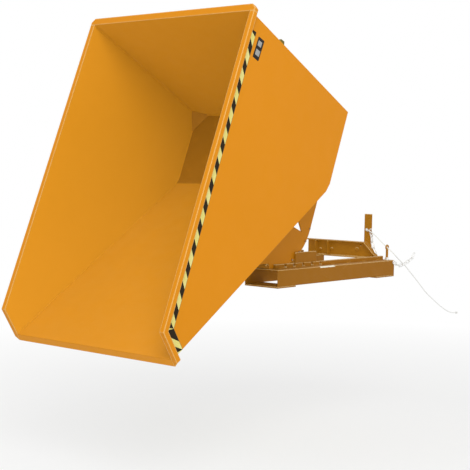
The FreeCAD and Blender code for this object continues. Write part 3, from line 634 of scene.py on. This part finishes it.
# The same line, in steps of one length, so that the twist is even.
def walkLine(line, step):
    total = sum((after - before).length for before, after in zip(line, line[1:]))
    count = max(2, round(total / step))
    walked, place, passed = [line[0].copy()], 0, 0.0
    for number in range(1, count):
        wanted = total * number / count
        while passed + (line[place + 1] - line[place]).length < wanted:
            passed += (line[place + 1] - line[place]).length
            place += 1
        run = line[place + 1] - line[place]
        walked.append(line[place] + run * ((wanted - passed) / run.length))
    walked.append(line[-1].copy())
    return walked


# Square frames carried along a line without twisting: way ahead and two sides.
def carryFrames(line):
    ways = [(line[1] - line[0]).normalized()]
    ways += [(after - before).normalized() for before, after in zip(line, line[2:])]
    ways.append((line[-1] - line[-2]).normalized())
    side = ways[0].orthogonal().normalized()
    frames = []
    for way in ways:
        side = (side - way * side.dot(way)).normalized()
        frames.append((way, side, way.cross(side)))
    return frames


def layStrands(line, diameter, points, faces):
    frames = carryFrames(line)
    offset = diameter / 2 * (1 - ropeShape["strandShare"])
    radius = diameter / 2 * ropeShape["strandShare"]
    strands, sides = ropeShape["strands"], ropeShape["strandSides"]
    for strand in range(strands):
        rings, walked = [], 0.0
        for number, (centre, (way, side, other)) in enumerate(zip(line, frames)):
            if number:
                walked += (centre - line[number - 1]).length
            turn = 2 * math.pi * (walked / ropeShape["lay"] + strand / strands)
            middle = centre + offset * (math.cos(turn) * side + math.sin(turn) * other)
            angles = [2 * math.pi * place / sides for place in range(sides)]
            rings.append([middle + radius * (math.cos(a) * side + math.sin(a) * other) for a in angles])
        skin(rings, points, faces)


def makeRope(name, route, nodeName):
    line = walkLine(readLine(route), ropeShape["step"])
    points, faces = [], []
    layStrands(line, ropeShape["diameter"], points, faces)
    piece = makePiece(name, points, faces, "base", "rope")
    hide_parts(nodeName)
    return piece, line


# A stopper knot: the rope's end wound three times round its own standing part.
knotShape = {
    "turns": 3, "tube": 0.0046, "reach": 0.0051, "length": 0.016, "core": 0.0052,
    "steps": 120, "coreSteps": 8,
}


def makeKnot(name, start, way, body, nodeName):
    side = way.orthogonal().normalized()
    other = way.cross(side)
    winding = []
    margin = knotShape["tube"] / 2
    for number in range(knotShape["steps"] + 1):
        share = number / knotShape["steps"]
        turn = 2 * math.pi * knotShape["turns"] * share
        along = margin + (knotShape["length"] - 2 * margin) * share
        outward = math.cos(turn) * side + math.sin(turn) * other
        winding.append(start + way * along + knotShape["reach"] * outward)
    coreStep = knotShape["length"] / knotShape["coreSteps"]
    core = [start + way * (coreStep * number) for number in range(knotShape["coreSteps"] + 1)]
    points, faces = [], []
    layStrands(winding, knotShape["tube"], points, faces)
    layStrands(core, knotShape["core"], points, faces)
    piece = makePiece(name, points, faces, body, "rope")
    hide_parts(nodeName)
    return piece


tightRope, tightLine = makeRope("releaseRopeTight", tightRoute, "release_rope_tight")
trailingRope, trailingLine = makeRope("releaseRopeTrailing", trailingRoute, "release_rope_trailing")
knotWay = (tightLine[1] - tightLine[0]).normalized()
leverKnot = makeKnot("ropeKnot", tightLine[0] - knotWay * knotShape["length"], knotWay, "lever", "rope_knot")
endWay = (trailingLine[-1] - trailingLine[-2]).normalized()
endKnot = makeKnot("ropeEndKnot", trailingLine[-1], endWay, "base", "rope_end_knot")


# Gives a piece its own copy of its mesh.
def closeUp(piece):
    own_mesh(piece)


closeUp(tightRope)
print("ropes laid:", len(tightRope.data.vertices) + len(trailingRope.data.vertices), "points")

# Points of a solid this near are one point.
sameReach = 1e-6


def makeLeverChain():
    mesh = bpy.data.meshes.new("leverChain")
    shape = bmesh.new()
    shape.from_mesh(nodes["lever_chain"].data)
    bmesh.ops.remove_doubles(shape, verts=shape.verts, dist=sameReach)
    shape.to_mesh(mesh)
    shape.free()
    mesh.materials.clear()
    mesh.materials.append(materials["zincSteel"])
    mesh.polygons.foreach_set("use_smooth", [True] * len(mesh.polygons))
    piece = bpy.data.objects.new("leverChain", mesh)
    bpy.context.scene.collection.objects.link(piece)
    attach(piece, "base")
    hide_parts("lever_chain")
    closeUp(piece)


makeLeverChain()

# Finish of the carried-over solids: their material, and edges broken as sheet and bar edges are.
edgeBreak = {
    "sheetWidth": 0.0012, "smallWidth": 0.0006, "segments": 2, "angle": math.radians(32),
    "flatAngle": math.radians(0.5), "evenWeight": 80,
}
smallNodes = (
    "cross_member_bolts", "lever_pivot_bolt", "eye_bolt_nut", "rocker_pegs_left", "rocker_pegs_right",
)
roundNodes = ("safety_chain", "eye_bolt")
# Most finishes here are one orange made lighter or darker: painted light and shade.
ownFinishes = {
    "rimHighlightPaint": ("rim_left", "rim_right", "rim_rear"),
    "floorLitAndShadedPaint": ("floor_sheet",),
    "wallLitPaint": ("rear_wall",),
    "farLitPaint": ("side_panel_left",),
    "webShadedPaint": ("rocker_web_left", "rocker_web_right"),
    "gussetShadedPaint": ("corner_gusset_left", "corner_gusset_right"),
    "pocketGlintPaint": ("fork_pocket_right",),
    "memberShadedPaint": (
        "cross_member", "cross_member_ribs", "cross_member_bolts",
        "lever_pivot_bolt", "release_lever", "eye_bolt",
    ),
}
finishOf = {node: finish for finish, names in ownFinishes.items() for node in names}


def finishNode(name, node, slotName):
    node.data.materials.clear()
    node.data.materials.append(materials[finishOf.get(name, slotMaterials[slotName])])
    weld = node.modifiers.new("weld", "WELD")
    weld.merge_threshold = sameReach
    if name in roundNodes:
        return
    flat = node.modifiers.new("flat", "DECIMATE")
    flat.decimate_type = "DISSOLVE"
    flat.angle_limit = edgeBreak["flatAngle"]
    bevel = node.modifiers.new("edge", "BEVEL")
    bevel.width = edgeBreak["smallWidth"] if name in smallNodes else edgeBreak["sheetWidth"]
    bevel.segments = edgeBreak["segments"]
    bevel.limit_method = "ANGLE"
    bevel.angle_limit = edgeBreak["angle"]
    node.modifiers.new("even", "WEIGHTED_NORMAL").weight = edgeBreak["evenWeight"]


nodeSlots = {row["node"]: row["material_slot"] for row in frame["record"]["subparts"]}
for nodeName, node in nodes.items():
    finishNode(nodeName, node, nodeSlots[nodeName])
print("solids finished:", len(nodes))

# Hazard tape under the rim's skirt: one length down each side to the bend, another down the lip.
# A length starts with a black stripe, "lead" before the length's own start, at the upper edge, and
# that stripe fills its corner.
tapeShape = {
    "depth": 0.0272,         # from the rim's face down to the tape's upper edge
    "width": 0.050,
    "rearEnd": 0.440,
    "stripe": 0.0482,
    "thickness": 0.0004,
    "step": 0.0025,
    "edgeWidth": 0.0015,     # of the dark lower edge
    "lowerGap": 0.001,       # kept from the panel's slanted lower edge
    "fillBack": 1.0,         # how far back the first stripe reaches, to fill its corner
    "slack": 1e-9,
    "lengths": {
        "side": {"lead": 0.0800, "slant": 0.055},    # how far on a stripe runs by its lower edge
        "lip": {"lead": 0.0207, "slant": 0.0415},
    },
}


# A point of one length of the tape, a way on from its start and a depth below the rim's face.
def tapePoint(length, forward, depth):
    if length == "side":
        return tapeShape["rearEnd"] - forward, binShape["height"] - depth
    bend = -binShape["frontReach"] + depth * math.tan(binShape["lipAngle"] / 2)
    return (
        bend - forward * math.cos(binShape["lipAngle"]),
        binShape["height"] - depth - forward * math.sin(binShape["lipAngle"]),
    )


# How far on a length reaches at a depth: to the bend, or to the panel's slanted lower edge.
def tapeReach(length, depth):
    if length == "side":
        return tapeShape["rearEnd"] + binShape["frontReach"] - depth * math.tan(binShape["lipAngle"] / 2)
    forward = 0.0
    while True:
        y, z = tapePoint(length, forward, depth)
        if z < -y * math.tan(floorAngle) + tapeShape["lowerGap"]:
            return forward
        forward += tapeShape["step"] / 4


def makeTape(sideName, side):
    points, faces, finishes = [], [], []
    top, foot = tapeShape["depth"], tapeShape["depth"] + tapeShape["width"]
    edge = foot - tapeShape["edgeWidth"]
    across = side * (binShape["halfWidth"] + tapeShape["thickness"])
    wall = side * binShape["halfWidth"]

    def addQuad(corners, finish):
        first = len(points)
        for x in (across, wall):
            points.extend(onBin(x, *corner) for corner in corners)
        faces.append((first, first + 1, first + 2, first + 3))
        faces.append((first + 7, first + 6, first + 5, first + 4))
        for place in range(4):
            after = (place + 1) % 4
            faces.append((first + place, first + 4 + place, first + 4 + after, first + after))
        finishes.extend([finish] * 6)

    for length, pattern in tapeShape["lengths"].items():
        reaches = {depth: tapeReach(length, depth) for depth in (top, edge, foot)}
        forward = -pattern["lead"]
        stripe = 1
        while forward < reaches[top]:
            end = forward + tapeShape["stripe"]
            here = forward
            while here < end - tapeShape["slack"]:
                after = min(here + tapeShape["step"], end)
                ends = (here if here > -pattern["lead"] else -tapeShape["fillBack"], after)
                spans = []
                for depth, lean in ((top, 0.0), (edge, pattern["slant"])):
                    spans.append([min(max(place + lean, 0.0), reaches[depth]) for place in ends])
                if spans[0][1] > spans[0][0] or spans[1][1] > spans[1][0]:
                    corners = [
                        tapePoint(length, spans[0][0], top),
                        tapePoint(length, spans[0][1], top),
                        tapePoint(length, spans[1][1], edge),
                        tapePoint(length, spans[1][0], edge),
                    ]
                    addQuad(corners, stripe % 2)
                here = after
            forward = end
            stripe += 1
        here = 0.0
        while here < reaches[foot]:
            after = min(here + tapeShape["stripe"] / 4, reaches[foot])
            corners = [
                tapePoint(length, here, edge),
                tapePoint(length, min(after, reaches[edge]), edge),
                tapePoint(length, after, foot),
                tapePoint(length, here, foot),
            ]
            addQuad(corners, 2)
            here = after
    makePiece(
        f"hazardTape_{sideName}", points, faces, "bin", "bin_paint",
        finishes=["tapeYellow", "tapeBlack", "tapeEdge"], faceFinishes=finishes, smooth=False,
    )


for sideName, side in sideNames.items():
    makeTape(sideName, side)
print("tape laid")

# Plain plate behind the tape's rear end, with two bare grey fields.
plateShape = {
    "centre": (0.3795, 0.7735),
    "length": 0.104,
    "width": 0.045,
    "turn": math.radians(177.8),
    "corner": 0.004,
    "thickness": 0.0008,
    "fields": [(-0.024, -0.002, 0.026, 0.027), (0.020, 0.001, 0.028, 0.030)],
    "fieldRise": 0.0003,
    "edgeShare": 0.7,        # of the thickness, up to where its edge leans in
    "topScale": 0.985,
    "fieldCorner": 0.004 / 3,
}


def roundedOutline(length, width, corner, steps=5):
    outline = []
    for quarter, (signX, signY) in enumerate(((1, 1), (-1, 1), (-1, -1), (1, -1))):
        centre = (signX * (length / 2 - corner), signY * (width / 2 - corner))
        for number in range(steps + 1):
            angle = math.pi / 2 * (quarter + number / steps)
            outline.append((centre[0] + corner * math.cos(angle), centre[1] + corner * math.sin(angle)))
    return outline


def makePlate():
    points, faces, finishes = [], [], []
    cosine, sine = math.cos(plateShape["turn"]), math.sin(plateShape["turn"])

    def addLayer(outline, centre, low, high, finish):
        rings = []
        lean = low + (high - low) * plateShape["edgeShare"]
        for level, inset in ((low, 1.0), (lean, 1.0), (high, plateShape["topScale"])):
            ring = []
            for along, across in outline:
                u, v = centre[0] + along * inset, centre[1] + across * inset
                y = plateShape["centre"][0] + u * cosine - v * sine
                z = plateShape["centre"][1] + u * sine + v * cosine
                ring.append(onBin(binShape["halfWidth"] + level, y, z))
            rings.append(ring)
        before = len(faces)
        skin(rings, points, faces)
        finishes.extend([finish] * (len(faces) - before))

    outline = roundedOutline(plateShape["length"], plateShape["width"], plateShape["corner"])
    addLayer(outline, (0, 0), 0, plateShape["thickness"], 0)
    for along, across, length, width in plateShape["fields"]:
        field = roundedOutline(length, width, plateShape["fieldCorner"])
        base = plateShape["thickness"] - plateShape["fieldRise"]
        addLayer(field, (along, across), base, plateShape["thickness"] + plateShape["fieldRise"], 1)
    makePiece(
        "plainPlate", points, faces, "bin", "bin_paint",
        finishes=["plateBlack", "plateGrey"], faceFinishes=finishes, smooth=False,
    )


makePlate()

# Weld beads: a fillet in a corner between two faces, rippled as it was laid.
beadShape = {
    "ripple": 0.0045,
    "ringsPerRipple": 3,
    "swell": 0.14,
    "bulge": 0.80,
    "uneven": 0.06,
    "endShare": 0.35,        # of its size, where a bead starts and ends
    "seed": 7,
}
beadRandom = random.Random(beadShape["seed"])


def addBead(points, faces, start, end, sideA, sideB, leg):
    length = (end - start).length
    count = max(4, round(length / beadShape["ripple"]) * beadShape["ringsPerRipple"])
    rings, lump = [], 1.0
    for number in range(count + 1):
        share = number / count
        phase = (number % beadShape["ringsPerRipple"]) / beadShape["ringsPerRipple"]
        if number % beadShape["ringsPerRipple"] == 0:
            lump = 1 + beadRandom.uniform(-beadShape["uneven"], beadShape["uneven"])
        taper = min(1.0, beadShape["endShare"] + min(share, 1 - share) * length / leg)
        size = leg * lump * taper * (1 - beadShape["swell"] * phase)
        centre = start + (end - start) * share
        ring = [centre]
        for turn in (0, 30, 60, 90):
            angle = math.radians(turn)
            reach = 1.0 if turn in (0, 90) else beadShape["bulge"]
            ring.append(centre + size * reach * (math.cos(angle) * sideA + math.sin(angle) * sideB))
        rings.append(ring)
    skin(rings, points, faces)


def addStitches(points, faces, start, end, sideA, sideB, leg, stitch, pitch):
    length = (end - start).length
    way = (end - start).normalized()
    count = max(1, int((length - stitch) / pitch) + 1)
    lead = (length - (count - 1) * pitch - stitch) / 2
    for number in range(count):
        first = start + way * (lead + number * pitch)
        addBead(points, faces, first, first + way * stitch, sideA, sideB, leg)


def makeBeads(name, body, slotName, finish, beads):
    points, faces = [], []
    for bead in beads:
        if len(bead) == 5:
            addBead(points, faces, *bead)
        else:
            addStitches(points, faces, *bead)
    makePiece(name, points, faces, body, slotName, finishes=[finish])


binWeld = {"leg": 0.0045, "webLeg": 0.006, "stitch": 0.060, "pitch": 0.125}


def binBeads():
    sheet = binShape["sheet"]
    lean = binShape["rearLean"]
    slant = (-math.cos(floorAngle), math.sin(floorAngle))
    slantUpWay = binWay(math.sin(floorAngle), math.cos(floorAngle))
    slantDownWay = -slantUpWay
    fold = sheet * math.tan(floorAngle / 4)
    flatFront = (binShape["facetLeg"] + fold, sheet)
    flatRear = (binShape["baseLength"] + sheet * math.tan(lean) - sheet / math.cos(lean), sheet)
    slantRear = (
        binShape["facetLeg"] * slant[0] + sheet * math.sin(floorAngle) - fold * math.cos(floorAngle),
        binShape["facetLeg"] * slant[1] + sheet * math.cos(floorAngle) + fold * math.sin(floorAngle),
    )
    lip = (-slantOut, slantUp)
    wallTop = (
        binShape["baseLength"] + (binShape["height"] - sheet) * math.tan(lean) - sheet / math.cos(lean),
        binShape["height"] - sheet,
    )
    leg = binWeld["leg"]
    inner = []
    for side in sideNames.values():
        inward = Vector((-side, 0, 0))
        x = side * halfInside
        inner.append((onBin(x, *flatFront), onBin(x, *flatRear), inward, binWay(0, 1), leg))
        facetUpWay = binWay(math.sin(floorAngle / 2), math.cos(floorAngle / 2))
        inner.append((onBin(x, *slantRear), onBin(x, *flatFront), inward, facetUpWay, leg))
        inner.append((onBin(x, *lip), onBin(x, *slantRear), inward, slantUpWay, leg))
        wallOut = binWay(-math.cos(lean), math.sin(lean))
        inner.append((onBin(x, *flatRear), onBin(x, *wallTop), inward, wallOut, leg))
    rearEnds = (onBin(-halfInside, *flatRear), onBin(halfInside, *flatRear))
    inner.append((*rearEnds, binWay(0, 1), binWay(-1, 0), leg))
    makeBeads("innerSeams", "bin", "bin_paint", "seamLitPaint", inner)

    stitched = (binWeld["webLeg"], binWeld["stitch"], binWeld["pitch"])
    webs = []
    slantFoot = (binShape["facetLeg"] * slant[0], binShape["facetLeg"] * slant[1])
    slantEnd = (binShape["webReach"] * slant[0], binShape["webReach"] * slant[1])
    flatFoot, flatEnd = (binShape["facetLeg"], 0), (binShape["webRear"], 0)
    for side in sideNames.values():
        for face, outward in ((binShape["webInner"], -1), (binShape["webOuter"], 1)):
            x, across = side * face, Vector((side * outward, 0, 0))
            webs.append((onBin(x, *slantFoot), onBin(x, *slantEnd), across, slantDownWay, *stitched))
            webs.append((onBin(x, *flatFoot), onBin(x, *flatEnd), across, binWay(0, -1), *stitched))
    makeBeads("webWelds", "bin", "bin_paint", "seamLitPaint", webs)


binBeads()

baseWeld = {
    "leg": 0.005,
    "stitch": 0.045,
    "pitch": 0.150,
    "plateLeg": 0.0016,      # smaller by the guide plates, where the pegs pass
    "pocketInner": 0.140,
    "barSet": 0.006,         # the round stop bar curves in by this much, where its bead lies
    "barShare": 0.45,        # of the height from the pocket to the bar's middle
    "strapBead": 0.004,
    "flush": 1e-4,
}


def baseBeads():
    up = Vector((0, 0, 1))
    beads = []
    for sideName, side in sideNames.items():
        low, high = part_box(f"guide_bar_{sideName}")
        outer = max(abs(low.x), abs(high.x)) * side
        across = Vector((side, 0, 0))
        ends = (Vector((outer, low.y, low.z)), Vector((outer, high.y, low.z)))
        beads.append((*ends, across, up, baseWeld["leg"], baseWeld["stitch"], baseWeld["pitch"]))
        plateLow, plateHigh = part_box(f"guide_plate_{sideName}")
        plateInner = min(abs(plateLow.x), abs(plateHigh.x)) * side
        ends = (Vector((plateInner, plateLow.y, plateLow.z)), Vector((plateInner, plateHigh.y, plateLow.z)))
        beads.append((*ends, -across, up, baseWeld["plateLeg"]))
        pocketLow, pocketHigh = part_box(f"fork_pocket_{sideName}")
        barLow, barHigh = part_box("front_stop_bar")
        barMiddle = (barLow.z + barHigh.z) / 2
        barBack = barHigh.y - baseWeld["barSet"]
        start = Vector((min(abs(pocketLow.x), abs(pocketHigh.x)) * side, barBack, pocketHigh.z))
        end = Vector((abs(barHigh.x) * side, barBack, pocketHigh.z))
        beads.append((start, end, Vector((0, 1, 0)), up, (barMiddle - pocketHigh.z) * baseWeld["barShare"]))
        for strap in ("front", "rear"):
            strapLow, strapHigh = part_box(f"strap_{strap}_{sideName}")
            for edge, way in ((strapLow.y, -1), (strapHigh.y, 1)):
                if min(abs(edge - pocketLow.y), abs(edge - pocketHigh.y)) < baseWeld["flush"]:
                    continue
                for x, outward in ((pocketLow.x, 1), (pocketHigh.x, -1)):
                    inner = x + outward * baseWeld["strapBead"]
                    beads.append((
                        Vector((x, edge, pocketLow.z)), Vector((inner, edge, pocketLow.z)),
                        Vector((0, way, 0)), up, baseWeld["leg"],
                    ))
    channelLow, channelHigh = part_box("cross_member")
    for side in sideNames.values():
        foot = Vector((side * baseWeld["pocketInner"], channelHigh.y, channelLow.z))
        end = Vector((side * channelHigh.x, channelHigh.y, channelLow.z))
        beads.append((foot, end, Vector((0, 1, 0)), up, baseWeld["leg"]))
    makeBeads("baseWelds", "base", "base_paint", "baseSeamShadedPaint", beads)


baseBeads()
print("welds laid")

# Floor, light and background.
studio = {
    "floorLevel": -0.95,
    "floorSize": 40,
    "floorTone": (0.86, 0.86, 0.85, 1),
    "floorRoughness": 0.9,
    "floorSpecular": 0.1,
    "shadowStart": 1.35,
    "shadowReach": 4.5,
    "nearWhite": 0.55,       # how white the floor is under the object, before its shadow ends
    "worldLight": 0.72,
    "keyPower": 218,
    "keySize": 4.0,
    "keyPlace": (4.5, -5.3, 4.8),
    "keyTarget": (0.0, -1.2, 0.3),
}


def makeFloor():
    half = studio["floorSize"] / 2
    mesh = bpy.data.meshes.new("studioFloor")
    corners = [(-half, -half), (half, -half), (half, half), (-half, half)]
    mesh.from_pydata([(x, y, studio["floorLevel"]) for x, y in corners], [], [(0, 1, 2, 3)])
    floor = bpy.data.objects.new("studioFloor", mesh)
    bpy.context.scene.collection.objects.link(floor)
    material, tree, shader = startMaterial("studioFloor")
    shader.inputs["Base Color"].default_value = studio["floorTone"]
    shader.inputs["Roughness"].default_value = studio["floorRoughness"]
    shader.inputs["Specular IOR Level"].default_value = studio["floorSpecular"]
    white = addNode(tree, "ShaderNodeEmission", {"Color": (1, 1, 1, 1), "Strength": 1.0})
    far = addNode(tree, "ShaderNodeVectorMath", links={0: objectPlace(tree)}, operation="LENGTH")
    reach = far.outputs["Value"]
    fade = stretch(tree, reach, studio["shadowStart"], studio["shadowReach"], studio["nearWhite"], 1.0)
    share = calculate(tree, "MULTIPLY", directRays(tree), fade)
    blend = addNode(tree, "ShaderNodeMixShader", links={0: share})
    tree.links.new(shader.outputs[0], blend.inputs[1])
    tree.links.new(white.outputs[0], blend.inputs[2])
    tree.links.new(blend.outputs[0], tree.nodes["Material Output"].inputs["Surface"])
    mesh.materials.append(material)


def makeLight():
    world = bpy.data.worlds.new("studio")
    bpy.context.scene.world = world
    world.use_nodes = True
    tree = world.node_tree
    background = tree.nodes["Background"]
    background.inputs["Color"].default_value = (1, 1, 1, 1)
    strength = stretch(tree, directRays(tree), 0.0, 1.0, studio["worldLight"], 1.0)
    tree.links.new(strength, background.inputs["Strength"])
    data = bpy.data.lights.new("softKey", "AREA")
    data.energy = studio["keyPower"]
    data.size = studio["keySize"]
    key = bpy.data.objects.new("softKey", data)
    ahead = Vector(studio["keyTarget"]) - Vector(studio["keyPlace"])
    turn = ahead.to_track_quat("-Z", "Y").to_matrix().to_4x4()
    key.matrix_world = Matrix.Translation(studio["keyPlace"]) @ turn
    bpy.context.scene.collection.objects.link(key)


makeFloor()
makeLight()
bpy.context.scene.view_settings.view_transform = "Standard"
print("floor and light set")
